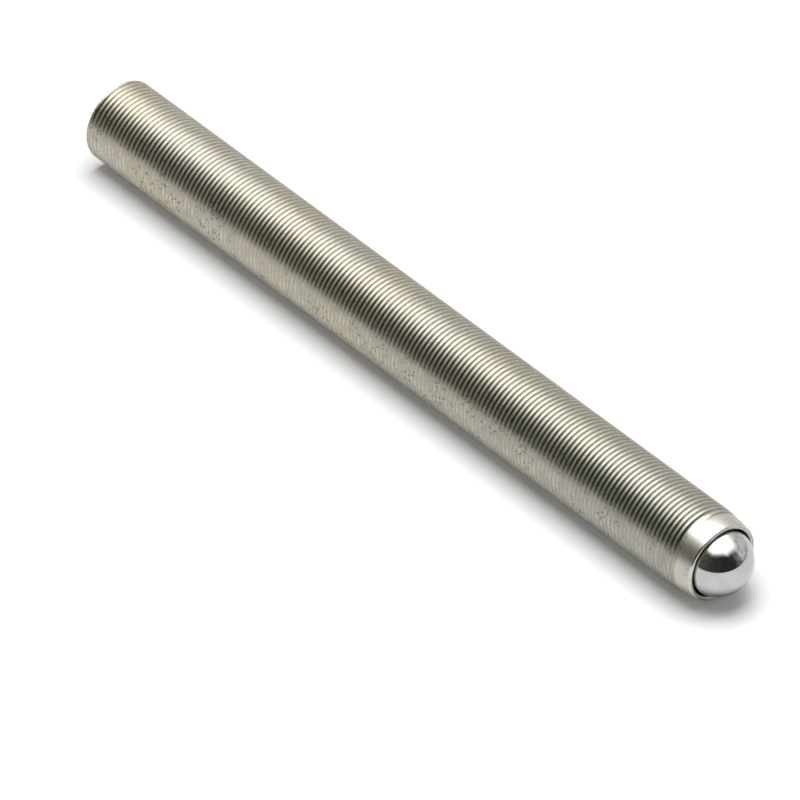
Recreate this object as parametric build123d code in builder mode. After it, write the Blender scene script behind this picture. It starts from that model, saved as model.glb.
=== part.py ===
from build123d import *
import math
import os

# Fine-thread adjusting screw with a ball tip, in millimetres.
# It stands on its rear face, with its axis on Z and the ball at the top.

# Whole screw
overall_length = 70.0        # rear face to the tip of the ball
crest_diameter = 6.67        # over the crests of the fine thread
rear_chamfer = 0.08          # broken edge of the rear face

# Nose
taper_length = 2.25          # full diameter to the rim, with the last turns of thread on it
rim_width = 0.42             # flat ring of the rim, from the lip to its outer edge
rim_rounding = 0.15          # edge of the rim, rounded as it is rolled over
lip_rounding = 0.10          # inner edge of the rim, beside the ball

# Ball and its seat
ball_diameter = 5.30
ball_reach = 2.15            # how far the ball stands out of the rim
ball_clearance = 0.07        # radial, so that the ball turns in its seat
seat_point_angle = 118.0     # cone left by the drill, on which the ball bears

# Hex key socket in the rear face
socket_width = 3.0           # across flats
socket_depth = 3.2           # full hexagon
socket_point_angle = 118.0   # cone left by the drill at its bottom
socket_lead = 0.15           # countersink at its mouth, past the corners

crest_radius = crest_diameter / 2
ball_radius = ball_diameter / 2
rim_z = overall_length - ball_reach
taper_z = rim_z - taper_length
ball_z = overall_length - ball_radius

# The seat follows the ball at an even clearance: a rolled lip in front of its
# equator, a straight bore behind it, and the drill cone at the bottom.
seat_radius = ball_radius + ball_clearance
lip_radius = math.sqrt(seat_radius**2 - (rim_z - ball_z) ** 2)
lip_angle = math.degrees(math.atan2(rim_z - ball_z, lip_radius))
rim_radius = lip_radius + rim_width
seat_half_angle = math.radians(seat_point_angle / 2)
seat_apex_z = ball_z - seat_radius / math.sin(seat_half_angle)
seat_cone_z = seat_apex_z + seat_radius / math.tan(seat_half_angle)

socket_flat = socket_width / 2
socket_corner = socket_flat / math.cos(math.pi / 6)
socket_mouth = socket_corner + socket_lead
socket_point = socket_flat / math.tan(math.radians(socket_point_angle / 2))

with BuildPart() as threaded_body:
    with BuildSketch(Plane.XZ):
        with BuildLine():
            outside = Polyline(
                (0, seat_apex_z),
                (0, 0),
                (crest_radius - rear_chamfer, 0),
                (crest_radius, rear_chamfer),
                (crest_radius, taper_z),
                (rim_radius, rim_z),
                (lip_radius, rim_z),
            )
            lip = CenterArc((0, ball_z), seat_radius, lip_angle, -lip_angle)
            seat = Polyline((seat_radius, ball_z), (seat_radius, seat_cone_z), (0, seat_apex_z))
        make_face()
        lip_edge = vertices().sort_by_distance((lip_radius, rim_z))[0]
        fillet(lip_edge, lip_rounding)
        rim_edge = vertices().sort_by_distance((rim_radius, rim_z))[0]
        fillet(rim_edge, rim_rounding)
    revolve(axis=Axis.Z)
    with BuildSketch():
        RegularPolygon(radius=socket_flat, side_count=6, major_radius=False)
    extrude(amount=socket_depth, mode=Mode.SUBTRACT)
    with BuildSketch(Plane.XZ):
        with BuildLine():
            Polyline(
                (0, 0),
                (socket_mouth, 0),
                (socket_flat, socket_mouth - socket_flat),
                (socket_flat, socket_depth),
                (0, socket_depth + socket_point),
                close=True,
            )
        make_face()
    revolve(axis=Axis.Z, mode=Mode.SUBTRACT)

with BuildPart() as ball:
    with Locations((0, 0, ball_z)):
        Sphere(ball_radius)

os.makedirs("parts", exist_ok=True)
threaded_body.part.label = "threaded_body"
export_step(threaded_body.part, "parts/threaded_body.step")
ball.part.label = "ball"
export_step(ball.part, "parts/ball.step")
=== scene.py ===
import bpy
import math
from mathutils import Matrix, Vector


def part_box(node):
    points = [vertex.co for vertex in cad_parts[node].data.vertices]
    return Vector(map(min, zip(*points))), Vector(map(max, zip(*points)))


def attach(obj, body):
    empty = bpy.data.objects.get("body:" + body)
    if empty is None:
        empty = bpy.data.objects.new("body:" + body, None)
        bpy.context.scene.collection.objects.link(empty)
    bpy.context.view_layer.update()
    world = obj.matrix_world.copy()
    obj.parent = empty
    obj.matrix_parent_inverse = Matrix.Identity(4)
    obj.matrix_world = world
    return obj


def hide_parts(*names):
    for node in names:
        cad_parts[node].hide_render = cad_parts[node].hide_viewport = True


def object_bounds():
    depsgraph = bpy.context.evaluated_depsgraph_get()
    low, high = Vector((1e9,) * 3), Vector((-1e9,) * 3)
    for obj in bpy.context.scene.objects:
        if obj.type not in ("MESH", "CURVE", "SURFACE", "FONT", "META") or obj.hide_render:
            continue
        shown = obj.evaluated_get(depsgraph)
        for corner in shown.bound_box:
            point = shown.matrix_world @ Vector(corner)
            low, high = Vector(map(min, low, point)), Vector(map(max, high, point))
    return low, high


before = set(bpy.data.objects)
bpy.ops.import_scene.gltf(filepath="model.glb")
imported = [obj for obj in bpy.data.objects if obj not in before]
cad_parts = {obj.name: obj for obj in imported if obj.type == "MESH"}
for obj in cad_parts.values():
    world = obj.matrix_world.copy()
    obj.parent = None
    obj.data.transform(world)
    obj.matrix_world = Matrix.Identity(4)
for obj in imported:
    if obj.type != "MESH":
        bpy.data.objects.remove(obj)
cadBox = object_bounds()
mm = 0.001

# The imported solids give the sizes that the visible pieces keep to.
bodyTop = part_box("threaded_body")[1]
ballLow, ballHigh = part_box("ball")
crestRadius = bodyTop.x
rimZ = bodyTop.z
ballRadius = (ballHigh.z - ballLow.z) / 2
ballCentre = Vector((0, 0, (ballHigh.z + ballLow.z) / 2))
middleZ = cadBox[1].z / 2


# The thread runs the right-hand way round Z. Its shape over one pitch is a list
# of (share of the pitch, share of the depth), from crest to crest.
thread = {
    "pitch": 0.4253 * mm,
    "depth": 0.162 * mm,
    "columns": 60,                # points round the screw
    "startTurn": 0.62,            # share of a turn that the whole thread is turned by
    "spareTurns": 2,              # past each end, before the thread is cut to length
    "endZ": 66.42 * mm,
    "lastGroove": 66.33 * mm,     # height of the groove where it has run out
    "runOut": 0.13 * mm,          # rise of the groove while it runs out
    "rearChamfer": 0.08 * mm,
    "sharpAngle": 48,             # degrees, over which an edge isn't smoothed
    "shape": [(0.000, 0.000), (0.146, 0.000), (0.166, 0.013), (0.183, 0.048), (0.444, 0.929),
              (0.500, 1.000), (0.556, 0.929), (0.817, 0.048), (0.834, 0.013), (0.854, 0.000)],
}

nose = {
    "taperLength": 2.25 * mm,
    "rimWidth": 0.42 * mm,
    "rimRounding": 0.15 * mm,
    "rimLine": 0.03 * mm,         # depth of the fine line turned into the rim
    "rimLineShade": 0.4,          # against 1 in the seat
    "lipRounding": 0.20 * mm,
    "roundingSteps": 8,
    "lipSteps": 5,
    "seatClearance": 0.07 * mm,
    "seatPointAngle": 118,
}

keySocket = {
    "flats": 3.0 * mm,
    "depth": 3.2 * mm,
    "lead": 0.15 * mm,
    "pointAngle": 118,
    "pointShare": 0.999,          # of half the flats, so that the drill point stays inside them
}

# The steel of each face, in the order of the body's materials.
threadSide, noseSide, socketSide, rimSide = range(4)

seatRadius = ballRadius + nose["seatClearance"]
lipRadius = math.sqrt(seatRadius**2 - (rimZ - ballCentre.z)**2)
rimRadius = lipRadius + nose["rimWidth"]

# Centre of the lip's rounding, which touches the flat ring and the arc of the seat.
lipEdgeZ = rimZ - nose["lipRounding"]
lipEdgeRadius = math.sqrt((seatRadius + nose["lipRounding"])**2 - (lipEdgeZ - ballCentre.z)**2)


def shapeDepth(phase):
    # depth of the thread, 0 at the crest and 1 at the root, at a share of the pitch
    points = thread["shape"] + [(1.0, thread["shape"][0][1])]
    for (a, low), (b, high) in zip(points, points[1:]):
        if phase <= b:
            return low + (high - low) * (phase - a) / (b - a)


def plainRadius(z):
    # the screw without its thread: a cylinder, then the taper of the nose
    taper = max(0.0, 1 - (rimZ - z) / nose["taperLength"])
    return crestRadius - taper * (crestRadius - rimRadius)


def grooveDepthAndShade(z, turn):
    # share of the full depth at this height, which fades where the groove runs out; it also sets the
    # share of painted shade in the groove
    turns = z / thread["pitch"] - turn
    grooveZ = (math.floor(turns) + 0.5 + turn) * thread["pitch"]
    fade = min(1.0, max(0.0, (thread["lastGroove"] - grooveZ) / thread["runOut"]))
    return shapeDepth(turns % 1.0) * fade


def threadRadius(z, turn):
    radius = plainRadius(z) - thread["depth"] * grooveDepthAndShade(z, turn)
    return min(radius, crestRadius - thread["rearChamfer"] + z)


def stepped(start, end, steps):
    # even steps from start to end, with both
    return [start + (end - start) * i / steps for i in range(steps + 1)]


class Skin:
    # one closed surface, made of rings of points round the screw, each point with a share of painted
    # shade for the grooves and the gap round the ball

    def __init__(self):
        self.points = []
        self.grooveShades = []
        self.faces = []
        self.sides = []

    def point(self, radius, angle, z, groove=0.0):
        self.points.append((radius * math.cos(angle), radius * math.sin(angle), z))
        self.grooveShades.append(groove)
        return len(self.points) - 1

    def face(self, corners, side):
        # corners that fall together are taken once, and a face without area is left out
        kept = [c for i, c in enumerate(corners) if c != corners[i - 1]]
        if len(kept) > 2:
            self.faces.append(kept)
            self.sides.append(side)

    def ring(self, z, radius, groove=0.0):
        # z and radius are numbers, or functions of the angle
        made = []
        for i in range(thread["columns"]):
            angle = 2 * math.pi * i / thread["columns"]
            r = radius(angle) if callable(radius) else radius
            height = z(angle) if callable(z) else z
            made.append(self.point(r, angle, height, groove))
        return made

    def join(self, lower, upper, side):
        for i in range(len(lower)):
            j = (i + 1) % len(lower)
            self.face([lower[i], lower[j], upper[j], upper[i]], side)

    def arc(self, ring, centre, radius, angles, side, grooveShades=None):
        # rings along an arc about centre, which is (distance from the axis, height)
        for angle, groove in zip(angles, grooveShades or [0.0] * len(angles)):
            following = self.ring(centre[1] + radius * math.sin(angle),
                                  centre[0] + radius * math.cos(angle), groove)
            self.join(ring, following, side)
            ring = following
        return ring

    def close(self, ring, z, side, upward):
        tip = self.point(0, 0, z)
        for i in range(len(ring)):
            j = (i + 1) % len(ring)
            corners = [ring[i], ring[j], tip] if upward else [ring[j], ring[i], tip]
            self.face(corners, side)


def addThread(skin):
    # columns of points that climb with the helix, clamped to the two ends
    count, pitch, spare = thread["columns"], thread["pitch"], thread["spareTurns"]
    shares = [share for share, _ in thread["shape"]]
    turns = math.ceil(thread["endZ"] / pitch) + 2 * spare
    columns, rearRing, noseRing = [], [], []
    for i in range(count):
        angle = 2 * math.pi * i / count
        turn = i / count + thread["startTurn"]
        first = skin.point(threadRadius(0.0, turn), angle, 0.0)
        last = skin.point(threadRadius(thread["endZ"], turn), angle, thread["endZ"])
        column = []
        for k in range(turns):
            for share in shares:
                z = (k - spare + share + turn) * pitch
                if z <= 0:
                    column.append(first)
                elif z >= thread["endZ"]:
                    column.append(last)
                else:
                    radius = threadRadius(z, turn)
                    column.append(skin.point(radius, angle, z, grooveDepthAndShade(z, turn)))
        columns.append(column)
        rearRing.append(first)
        noseRing.append(last)
    for i in range(count):
        here, there = columns[i], columns[(i + 1) % count]
        shift = len(shares) if i == count - 1 else 0     # the last column meets the first a turn on
        for m in range(len(here) - 1 - shift):
            corners = [here[m], there[m + shift], there[m + 1 + shift], here[m + 1]]
            skin.face(corners, threadSide)
    return rearRing, noseRing


def addRim(skin, ring):
    # the end of the taper, the edge that is rolled over, and a fine line in the flat ring, painted
    # partly dark as shade
    rounding = nose["rimRounding"]
    slope = math.atan2(crestRadius - rimRadius, nose["taperLength"])
    setback = rounding * math.tan((math.pi / 2 - slope) / 2)
    centre = (rimRadius - setback, rimZ - rounding)
    angles = stepped(slope, math.pi / 2, nose["roundingSteps"])
    ring = skin.arc(ring, centre, rounding, angles[:1], noseSide)
    ring = skin.arc(ring, centre, rounding, angles[1:], rimSide)
    line = skin.ring(rimZ - nose["rimLine"], (centre[0] + lipEdgeRadius) / 2, nose["rimLineShade"])
    skin.join(ring, line, rimSide)
    return line


def addLip(skin, ring):
    # the rounded inner edge, painted darker as shade towards the gap, then the arc that closes over
    # the ball, in full painted shade
    steps = nose["roundingSteps"]
    lipAngle = math.atan2(lipEdgeZ - ballCentre.z, lipEdgeRadius)
    angles = stepped(math.pi / 2, math.pi + lipAngle, steps)[:-1]
    shades = stepped(0, 1, steps)[:-1]
    ring = skin.arc(ring, (lipEdgeRadius, lipEdgeZ), nose["lipRounding"], angles, rimSide, shades)
    angles = stepped(lipAngle, 0, nose["lipSteps"])
    return skin.arc(ring, (0, ballCentre.z), seatRadius, angles, rimSide, [1.0] * len(angles))


def addSeat(skin, ring):
    # the straight bore behind the ball's equator, and the cone that the drill leaves, both in full
    # painted shade
    halfAngle = math.radians(nose["seatPointAngle"] / 2)
    apexZ = ballCentre.z - seatRadius / math.sin(halfAngle)
    bottom = skin.ring(apexZ + seatRadius / math.tan(halfAngle), seatRadius, 1.0)
    skin.join(ring, bottom, rimSide)
    skin.close(bottom, apexZ, rimSide, upward=True)


def addKeySocket(skin, ring):
    # the rear face, the countersunk mouth, the hexagon and the drill point
    flat = keySocket["flats"] / 2
    depth = keySocket["depth"]
    mouthRadius = flat / math.cos(math.pi / 6) + keySocket["lead"]

    def hexagon(angle):
        return flat / math.cos((angle % (math.pi / 3)) - math.pi / 6)

    mouth = skin.ring(0.0, mouthRadius)
    corner = skin.ring(lambda angle: mouthRadius - hexagon(angle), hexagon)
    bottom = skin.ring(depth, hexagon)
    pointRing = skin.ring(depth, flat * keySocket["pointShare"])
    skin.join(mouth, ring, noseSide)
    skin.join(corner, mouth, noseSide)
    skin.join(bottom, corner, socketSide)
    skin.join(pointRing, bottom, socketSide)
    point = flat / math.tan(math.radians(keySocket["pointAngle"] / 2))
    skin.close(pointRing, depth + point, socketSide, upward=False)


def addPiece(name, points, faces, materials):
    mesh = bpy.data.meshes.new(name)
    mesh.from_pydata(points, [], faces)
    for material in materials:
        mesh.materials.append(material)
    piece = bpy.data.objects.new(name, mesh)
    bpy.context.scene.collection.objects.link(piece)
    return piece


def makeThreadedBody(materials):
    skin = Skin()
    rearRing, noseRing = addThread(skin)
    addSeat(skin, addLip(skin, addRim(skin, noseRing)))
    addKeySocket(skin, rearRing)
    piece = addPiece("threadedBody", skin.points, skin.faces, materials)
    mesh = piece.data
    mesh.polygons.foreach_set("material_index", skin.sides)
    # share of painted shade at each point: in the grooves by their depth, and in the gap round the
    # ball
    groove = mesh.attributes.new("grooveDepthAndShade", "FLOAT", "POINT")
    groove.data.foreach_set("value", skin.grooveShades)
    mesh.polygons.foreach_set("use_smooth", [True] * len(skin.faces))
    mesh.set_sharp_from_angle(angle=math.radians(thread["sharpAngle"]))
    mesh.update()
    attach(piece, "screw")
    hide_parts("threaded_body")


tipBall = {"rings": 96, "columns": 192}


def makeBall(material):
    rings, columns = tipBall["rings"], tipBall["columns"]
    points = [(0, 0, ballCentre.z - ballRadius)]
    for i in range(1, rings):
        a = math.pi * i / rings
        radius, z = ballRadius * math.sin(a), ballCentre.z - ballRadius * math.cos(a)
        for j in range(columns):
            b = 2 * math.pi * j / columns
            points.append((radius * math.cos(b), radius * math.sin(b), z))
    points.append((0, 0, ballCentre.z + ballRadius))
    top = len(points) - 1
    faces = []
    for j in range(columns):
        k = (j + 1) % columns
        faces.append((0, 1 + k, 1 + j))
        faces.append((top, top - columns + j, top - columns + k))
        for i in range(rings - 2):
            low = 1 + i * columns
            faces.append((low + j, low + k, low + columns + k, low + columns + j))
    piece = addPiece("tipBall", points, faces, [material])
    piece.data.polygons.foreach_set("use_smooth", [True] * len(faces))
    piece.data.update()
    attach(piece, "tip")
    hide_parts("ball")


class NodeTree:
    # short ways to add nodes, where a value is a number, a colour or a node's output

    def __init__(self, owner):
        owner.use_nodes = True
        self.nodes = owner.node_tree.nodes
        self.links = owner.node_tree.links

    def put(self, socket, value):
        if isinstance(value, bpy.types.NodeSocket):
            self.links.new(value, socket)
        elif isinstance(value, tuple):
            socket.default_value = (*value, 1)
        else:
            socket.default_value = value

    def noise(self, vector, scale, detail):
        node = self.nodes.new("ShaderNodeTexNoise")
        node.inputs["Scale"].default_value = scale
        node.inputs["Detail"].default_value = detail
        self.links.new(vector, node.inputs["Vector"])
        return node.outputs["Fac"]

    def mapped(self, value, before, after):
        # the range before, brought to the range after
        node = self.nodes.new("ShaderNodeMapRange")
        node.inputs["From Min"].default_value, node.inputs["From Max"].default_value = before
        node.inputs["To Min"].default_value, node.inputs["To Max"].default_value = after
        self.links.new(value, node.inputs["Value"])
        return node.outputs["Result"]

    def mix(self, factor, first, second, kind="RGBA", blend="MIX"):
        node = self.nodes.new("ShaderNodeMix")
        node.data_type = kind
        node.blend_type = blend
        for name, value in (("Factor", factor), ("A", first), ("B", second)):
            self.put(node.inputs[name], value)
        return node.outputs["Result"]

    def tint(self, factor, colour, tint):
        return self.mix(factor, colour, self.mix(1.0, colour, tint, blend="MULTIPLY"))

    def calculate(self, operation, first, second=None, clamp=False):
        node = self.nodes.new("ShaderNodeMath")
        node.operation = operation
        node.use_clamp = clamp
        self.put(node.inputs[0], first)
        if second is not None:
            self.put(node.inputs[1], second)
        return node.outputs["Value"]

    def dot(self, vector, direction):
        node = self.nodes.new("ShaderNodeVectorMath")
        node.operation = "DOT_PRODUCT"
        node.inputs[1].default_value = direction
        self.links.new(vector, node.inputs[0])
        return node.outputs["Value"]

    def choose(self, factor, first, second):
        # one of two shaders
        node = self.nodes.new("ShaderNodeMixShader")
        for socket, value in zip(node.inputs, (factor, first, second)):
            self.links.new(value, socket)
        return node.outputs["Shader"]


# The crests keep the satin finish of the plain faces. The flanks between them are
# smoother, and painted darker as shade, fully so from a set share of the thread's
# depth. Scales are those of a noise, per metre, so a larger one is finer.
threadFinish = {
    "colour": (0.60, 0.588, 0.53),
    "dull": (0.46, 0.449, 0.40),
    # the colour of the painted shade in the grooves, and of the dark grain
    "groove": (0.41, 0.398, 0.345),
    "grooveShadeFull": 0.34,
    "roughness": (0.38, 0.46),
    "grooveRoughness": 0.25,
    "patchScale": 1300,
    "grainScale": 8000,
    "grainDepth": 1.0,
    "toolMarks": 0.5,
    "markScale": (3600, 3600, 3600),
    "pits": 0.85,
    "pitSize": 0.38,
    "pitReach": (2.1 * mm, 2.8 * mm),     # out on the worn side, where pits start and are full
}

noseFinish = {
    "colour": (0.69, 0.675, 0.61),
    "dull": (0.64, 0.625, 0.565),
    "groove": (0.20, 0.19, 0.16),
    "grooveShadeFull": 1.0,
    "roughness": (0.34, 0.40),
    "grooveRoughness": 0.42,
    "patchScale": 700,
    "grainScale": 6000,
    "grainDepth": 0.12,
    "toolMarks": 0.08,
    "markScale": (600, 600, 9000),
    "pits": 0.8,
    "pitSize": 0.24,
    "pitReach": (2.7 * mm, 3.0 * mm),
}

socketFinish = {
    "colour": (0.50, 0.48, 0.43),
    "dull": (0.32, 0.30, 0.27),
    "groove": (0.20, 0.19, 0.16),
    "grooveShadeFull": 1.0,
    "roughness": (0.30, 0.5),
    "grooveRoughness": 0.5,
    "patchScale": 1200,
    "grainScale": 5000,
    "grainDepth": 0.3,
    "toolMarks": 0.2,
    "markScale": (2500, 2500, 600),
    "pits": 0.0,
    "pitSize": 0.24,
    "pitReach": (2.7 * mm, 3.0 * mm),
}

# The ring of the rim is smoother than the taper, and the seat behind it is painted dark as the shade
# in the gap round the ball.
rimFinish = {
    "colour": (0.80, 0.785, 0.72),
    "dull": (0.70, 0.685, 0.62),
    # the colour of the painted shade in the gap round the ball and in the fine line
    "groove": (0.05, 0.048, 0.042),
    "grooveShadeFull": 0.8,
    "roughness": (0.10, 0.17),
    "grooveRoughness": 0.45,
    "patchScale": 1500,
    "grainScale": 6000,
    "grainDepth": 0.2,
    "toolMarks": 0.08,
    "markScale": (2500, 2500, 2500),
    "pits": 0.3,
    "pitSize": 0.24,
    "pitReach": (2.7 * mm, 3.0 * mm),
}

# The steel is painted a little paler towards the rear end, as lighter reflections
# there, is warmer in patches, and is pitted along one side. A range is the stretch of a
# noise or of a length that is used.
steelWear = {
    "dullRange": (0.65, 0.35),
    "grainRange": (0.48, 0.34),
    "glossRange": (0.3, 0.7),     # dull patches are the rougher ones
    "markDepth": 0.02 * mm,
    # painted lighter reflection towards the rear end
    "rearPaintedLight": (1.22, 1.175, 1.14),
    "rearRange": (65 * mm, 5 * mm),
    "warmTint": (1.02, 1.0, 0.95),
    "warmScale": 110,
    "warmRange": (0.45, 0.58),
    "pitScale": 3000,
    "pitEdge": 0.6,               # share of a pit's size at which it starts to fade
    "pitColour": (0.22, 0.21, 0.18),
    "pitPatchScale": 380,
    "pitRange": (0.44, 0.54),
    "pitSide": Vector((0.978, -0.208, 0)),
}


def pitMask(tree, finish, place):
    # round pits, in some patches of the worn side
    cells = tree.nodes.new("ShaderNodeTexVoronoi")
    cells.inputs["Scale"].default_value = steelWear["pitScale"]
    tree.links.new(place, cells.inputs["Vector"])
    size = finish["pitSize"]
    edge = (size * steelWear["pitEdge"], size)
    spots = tree.mapped(cells.outputs["Distance"], edge, (finish["pits"], 0))
    patches = tree.noise(place, steelWear["pitPatchScale"], detail=2)
    patches = tree.mapped(patches, steelWear["pitRange"], (0, 1))
    facing = tree.mapped(tree.dot(place, steelWear["pitSide"]), finish["pitReach"], (0, 1))
    return tree.calculate("MULTIPLY", spots, tree.calculate("MULTIPLY", patches, facing))


def steelColour(tree, finish, place, patches, paintedGrooveShade):
    # dull patches and dark grain on the crests, painted shade on the flanks and in the gap, then
    # tints and pits
    dull = tree.mapped(patches, steelWear["dullRange"], (0, 1))
    colour = tree.mix(dull, finish["colour"], finish["dull"])
    grain = tree.noise(place, finish["grainScale"], detail=2)
    grain = tree.mapped(grain, steelWear["grainRange"], (0, finish["grainDepth"]))
    colour = tree.mix(grain, colour, finish["groove"])
    colour = tree.mix(paintedGrooveShade, colour, finish["groove"])
    # painted lighter reflection, growing towards the rear end
    height = tree.dot(place, Vector((0, 0, 1)))
    rear = tree.mapped(height, steelWear["rearRange"], (0, 1))
    colour = tree.tint(rear, colour, steelWear["rearPaintedLight"])
    warm = tree.noise(place, steelWear["warmScale"], detail=2)
    warm = tree.mapped(warm, steelWear["warmRange"], (0, 1))
    colour = tree.tint(warm, colour, steelWear["warmTint"])
    return tree.mix(pitMask(tree, finish, place), colour, steelWear["pitColour"])


def makeTurnedSteel(name, finish):
    material = bpy.data.materials.new(name)
    tree = NodeTree(material)
    shader = tree.nodes["Principled BSDF"]
    shader.inputs["Metallic"].default_value = 1.0
    place = tree.nodes.new("ShaderNodeTexCoord").outputs["Object"]
    patches = tree.noise(place, finish["patchScale"], detail=5)
    # painted shade: the colour goes darker where the grooves are deep
    groove = tree.nodes.new("ShaderNodeAttribute")
    groove.attribute_name = "grooveDepthAndShade"
    paintedGrooveShade = tree.mapped(groove.outputs["Fac"], (0, finish["grooveShadeFull"]), (0, 1))
    tree.put(shader.inputs["Base Color"], steelColour(tree, finish, place, patches, paintedGrooveShade))
    gloss = tree.mapped(patches, steelWear["glossRange"], finish["roughness"][::-1])
    gloss = tree.mix(paintedGrooveShade, gloss, finish["grooveRoughness"], kind="FLOAT")
    tree.put(shader.inputs["Roughness"], gloss)
    across = tree.nodes.new("ShaderNodeMapping")
    across.inputs["Scale"].default_value = finish["markScale"]
    tree.links.new(place, across.inputs["Vector"])
    bump = tree.nodes.new("ShaderNodeBump")
    bump.inputs["Strength"].default_value = finish["toolMarks"]
    bump.inputs["Distance"].default_value = steelWear["markDepth"]
    tree.put(bump.inputs["Height"], tree.noise(across.outputs["Vector"], 1.0, detail=3))
    tree.put(shader.inputs["Normal"], bump.outputs["Normal"])
    return material


ballFinish = {
    "colour": (0.67, 0.675, 0.675),
    "smudged": (0.62, 0.625, 0.62),
    "roughness": (0.045, 0.085),
    "smudgeScale": 900,
    "smudgeRange": (0.4, 0.6),
    "glossRange": (0.35, 0.65),
}


def makeBallSteel(name, finish):
    material = bpy.data.materials.new(name)
    tree = NodeTree(material)
    shader = tree.nodes["Principled BSDF"]
    shader.inputs["Metallic"].default_value = 1.0
    place = tree.nodes.new("ShaderNodeTexCoord").outputs["Object"]
    smudges = tree.noise(place, finish["smudgeScale"], detail=4)
    smudged = tree.mapped(smudges, finish["smudgeRange"], (0, 1))
    tree.put(shader.inputs["Base Color"], tree.mix(smudged, finish["colour"], finish["smudged"]))
    gloss = tree.mapped(smudges, finish["glossRange"], finish["roughness"])
    tree.put(shader.inputs["Roughness"], gloss)
    return material


# The screw lies on a pale floor as it does when it is photographed, so the floor
# touches its side: floorUp is the floor's upward direction in the screw's frame.
studio = {
    "floorUp": Vector((0, -1, 0)),
    "floorSize": 600 * mm,
    "floorColour": (0.92, 0.92, 0.92),
    "floorGlow": 0.09,
    "mirroredFloor": (0.80, 0.80, 0.795),
    "lampHeight": 350 * mm,
    "lampSize": (285 * mm, 260 * mm),
    "lampPower": 1.32,
    "skyFill": 0.18,
}

# The room that the metal mirrors, by direction round the floor's upright. Azimuth
# 0 points from the screw to the camera, and positive is to the right of it.
room = {
    "ahead": Vector((0.6455, 0, 0.7637)),
    "right": Vector((-0.7637, 0, 0.6455)),
    "around": [
        (-180, (0.68, 0.67, 0.64)), (-128, (0.57, 0.56, 0.53)), (-114, (0.13, 0.128, 0.098)),
        (-60, (0.095, 0.093, 0.062)), (-20, (0.042, 0.043, 0.032)), (30, (0.024, 0.026, 0.022)),
        (58, (0.035, 0.038, 0.034)), (64, (0.11, 0.115, 0.11)), (78, (0.22, 0.225, 0.22)),
        (86, (0.60, 0.61, 0.60)), (145, (0.68, 0.68, 0.67)), (180, (0.68, 0.67, 0.64)),
    ],
    # share of the walls' light that is left just above the floor
    "lowLine": [(-180, 1.0), (58, 1.0), (66, 0.35), (122, 0.35), (138, 1.0), (180, 1.0)],
    "lowLineHeight": 3.5,         # degrees above the floor
    "topLight": (3.9, 3.9, 3.9),
    # height in degrees at which the walls end and the top light starts
    "topEdge": [(-180, 43), (-165, 44), (-145, 46), (-115, 44.5), (-102, 48.5), (-90, 63),
                (-60, 58), (-28, 57), (28, 58), (45, 50), (145, 47), (180, 43)],
    "topSoftness": 28,            # degrees over which the one gives way to the other
    "topCurve": 2.0,
    "cloudScale": 2.6,
    "cloudRise": 2.5,             # degrees by which clouds shift the edge of the top light
    "mottleScale": 7.0,
    "mottling": 0.45,
    "noiseSpread": 4,             # brings a noise about its middle to about -1 to 1
}


def aroundRamp(tree, share, stops, toColour):
    # a value by azimuth, from stops of (azimuth, value)
    node = tree.nodes.new("ShaderNodeValToRGB")
    elements = node.color_ramp.elements
    for i, (azimuth, value) in enumerate(stops):
        position = (azimuth + 180) / 360
        if i < 2:
            element = elements[i]     # a new ramp has two
            element.position = position
        else:
            element = elements.new(position)
        element.color = toColour(value)
    tree.links.new(share, node.inputs["Fac"])
    return node.outputs["Color"]


def mirroredRoom(tree, way):
    # heights are shares of a right angle above the floor
    azimuth = tree.calculate("ARCTAN2", tree.dot(way, room["right"]), tree.dot(way, room["ahead"]))
    share = tree.calculate("ADD", tree.calculate("DIVIDE", azimuth, 2 * math.pi), 0.5)
    height = tree.calculate("ARCSINE", tree.dot(way, studio["floorUp"]))
    height = tree.calculate("DIVIDE", height, math.pi / 2)
    around = aroundRamp(tree, share, room["around"], lambda c: (*c, 1))
    edge = aroundRamp(tree, share, room["topEdge"], lambda e: (e / 90, e / 90, e / 90, 1))
    line = aroundRamp(tree, share, room["lowLine"], lambda v: (v, v, v, 1))

    cloud = tree.calculate("SUBTRACT", tree.noise(way, room["cloudScale"], detail=2), 0.5)
    cloud = tree.calculate("MULTIPLY", cloud, room["noiseSpread"] * room["cloudRise"] / 90)
    rise = tree.calculate("ADD", tree.calculate("SUBTRACT", height, edge), cloud)
    above = tree.calculate("DIVIDE", rise, room["topSoftness"] / 90)
    above = tree.calculate("ADD", above, 0.5, clamp=True)
    above = tree.calculate("POWER", above, room["topCurve"])

    mottle = tree.calculate("SUBTRACT", tree.noise(way, room["mottleScale"], detail=3), 0.5)
    mottle = tree.calculate("MULTIPLY", mottle, room["noiseSpread"] * room["mottling"])
    mottle = tree.calculate("ADD", mottle, 1.0)
    walls = tree.mix(1.0, around, mottle, blend="MULTIPLY")
    lifted = tree.calculate("DIVIDE", height, room["lowLineHeight"] / 90, clamp=True)
    walls = tree.tint(tree.calculate("SUBTRACT", 1.0, lifted), walls, line)
    return tree.mix(above, walls, room["topLight"])


def makeRoom():
    # metal mirrors the room, the camera sees white, and all else gets a plain fill
    world = bpy.data.worlds.new("studioRoom")
    bpy.context.scene.world = world
    tree = NodeTree(world)
    tree.nodes.clear()
    way = tree.nodes.new("ShaderNodeTexCoord").outputs["Generated"]

    def background(colour, strength=1.0):
        node = tree.nodes.new("ShaderNodeBackground")
        tree.put(node.inputs["Color"], colour)
        node.inputs["Strength"].default_value = strength
        return node.outputs["Background"]

    ray = tree.nodes.new("ShaderNodeLightPath").outputs
    seen = tree.choose(ray["Is Glossy Ray"], background((1, 1, 1), studio["skyFill"]),
                       background(mirroredRoom(tree, way)))
    seen = tree.choose(ray["Is Camera Ray"], seen, background((1, 1, 1)))
    output = tree.nodes.new("ShaderNodeOutputWorld")
    tree.put(output.inputs["Surface"], seen)


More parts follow.
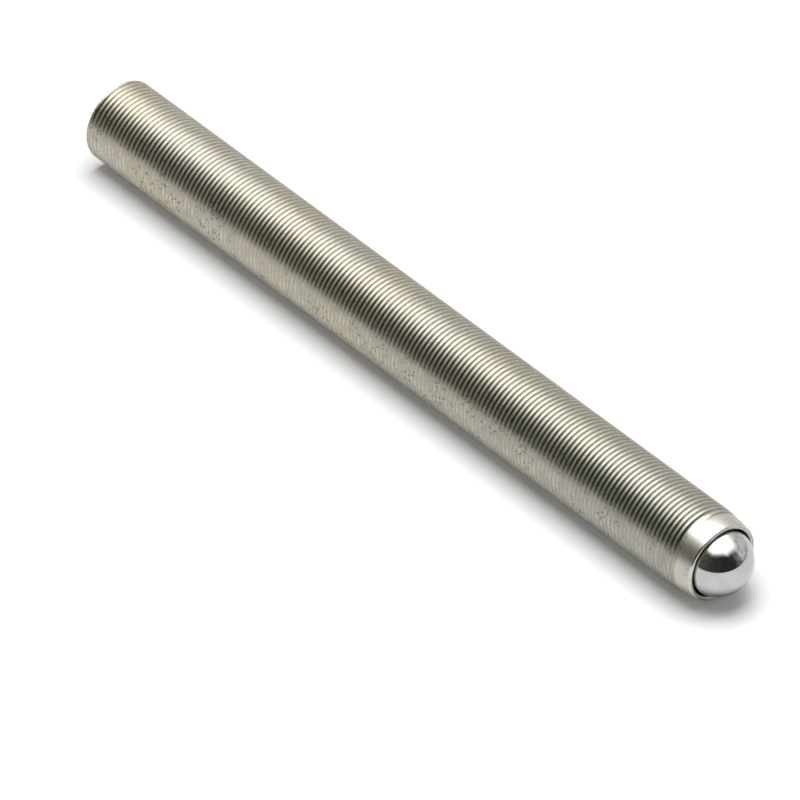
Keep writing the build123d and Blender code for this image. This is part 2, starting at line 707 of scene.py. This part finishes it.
def makeFloorPaper():
    # pale and faintly glowing to the camera, duller in the metal, clear from behind
    material = bpy.data.materials.new("paleFloor")
    tree = NodeTree(material)
    tree.nodes.clear()
    ray = tree.nodes.new("ShaderNodeLightPath").outputs
    paper = tree.nodes.new("ShaderNodeBsdfDiffuse")
    colour = tree.mix(ray["Is Glossy Ray"], studio["floorColour"], studio["mirroredFloor"])
    tree.put(paper.inputs["Color"], colour)
    glow = tree.nodes.new("ShaderNodeEmission")
    strength = tree.calculate("MULTIPLY", ray["Is Camera Ray"], studio["floorGlow"])
    tree.put(glow.inputs["Strength"], strength)
    both = tree.nodes.new("ShaderNodeAddShader")
    tree.put(both.inputs[0], paper.outputs["BSDF"])
    tree.put(both.inputs[1], glow.outputs["Emission"])
    clear = tree.nodes.new("ShaderNodeBsdfTransparent")
    behind = tree.nodes.new("ShaderNodeNewGeometry").outputs["Backfacing"]
    output = tree.nodes.new("ShaderNodeOutputMaterial")
    surface = tree.choose(behind, both.outputs["Shader"], clear.outputs["BSDF"])
    tree.put(output.inputs["Surface"], surface)
    return material


def makeFloor(material):
    half = studio["floorSize"] / 2
    low, high = middleZ - half, middleZ + half
    corners = [(-half, crestRadius, low), (half, crestRadius, low),
               (half, crestRadius, high), (-half, crestRadius, high)]
    floor = addPiece("studioFloor", corners, [(0, 1, 2, 3)], [material])


def makeLamp():
    data = bpy.data.lights.new("overheadSoftbox", "AREA")
    data.shape = "RECTANGLE"
    data.size, data.size_y = studio["lampSize"]
    data.energy = studio["lampPower"]
    lamp = bpy.data.objects.new("overheadSoftbox", data)
    lamp.location = Vector((0, 0, middleZ)) + studio["floorUp"] * studio["lampHeight"]
    lamp.rotation_mode = "QUATERNION"
    lamp.rotation_quaternion = (-studio["floorUp"]).to_track_quat("-Z", "Y")
    lamp.visible_glossy = False
    bpy.context.scene.collection.objects.link(lamp)


# Where the photograph was taken from, in the screw's own frame, with angles in
# degrees and the lens and sensor in millimetres.
camera = {
    "aim": Vector((2.929, 3.272, 35.990)) * mm,
    "azimuth": 38.591,
    "elevation": 36.427,
    "roll": 126.652,
    "distance": 710.01 * mm,
    "lens": 438.85,
    "sensorWidth": 36,
    "clip": (0.05, 10),
}


def makeCamera():
    data = bpy.data.cameras.new("photoCamera")
    data.lens = camera["lens"]
    data.sensor_width = camera["sensorWidth"]
    data.clip_start, data.clip_end = camera["clip"]
    azimuth, elevation = math.radians(camera["azimuth"]), math.radians(camera["elevation"])
    back = Vector((math.sin(azimuth) * math.cos(elevation), -math.cos(azimuth) * math.cos(elevation),
                   math.sin(elevation)))
    level = Vector((math.cos(azimuth), math.sin(azimuth), 0))
    raised = back.cross(level)
    roll = math.radians(camera["roll"])
    right = level * math.cos(roll) + raised * math.sin(roll)
    up = back.cross(right)
    turn = Matrix((right, up, back)).transposed().to_4x4()
    photoCamera = bpy.data.objects.new("photoCamera", data)
    photoCamera.matrix_world = Matrix.Translation(camera["aim"] + back * camera["distance"]) @ turn
    bpy.context.scene.collection.objects.link(photoCamera)
    bpy.context.scene.camera = photoCamera


makeCamera()
makeRoom()
makeFloor(makeFloorPaper())
makeLamp()
print("studio ready")
threadSteel = makeTurnedSteel("threadSteel", threadFinish)
noseSteel = makeTurnedSteel("noseSteel", noseFinish)
socketSteel = makeTurnedSteel("socketSteel", socketFinish)
rimSteel = makeTurnedSteel("rimSteel", rimFinish)
makeThreadedBody([threadSteel, noseSteel, socketSteel, rimSteel])
print("threaded body made")
makeBall(makeBallSteel("polishedSteel", ballFinish))
print("ball made")

bpy.context.scene.view_settings.view_transform = "Standard"
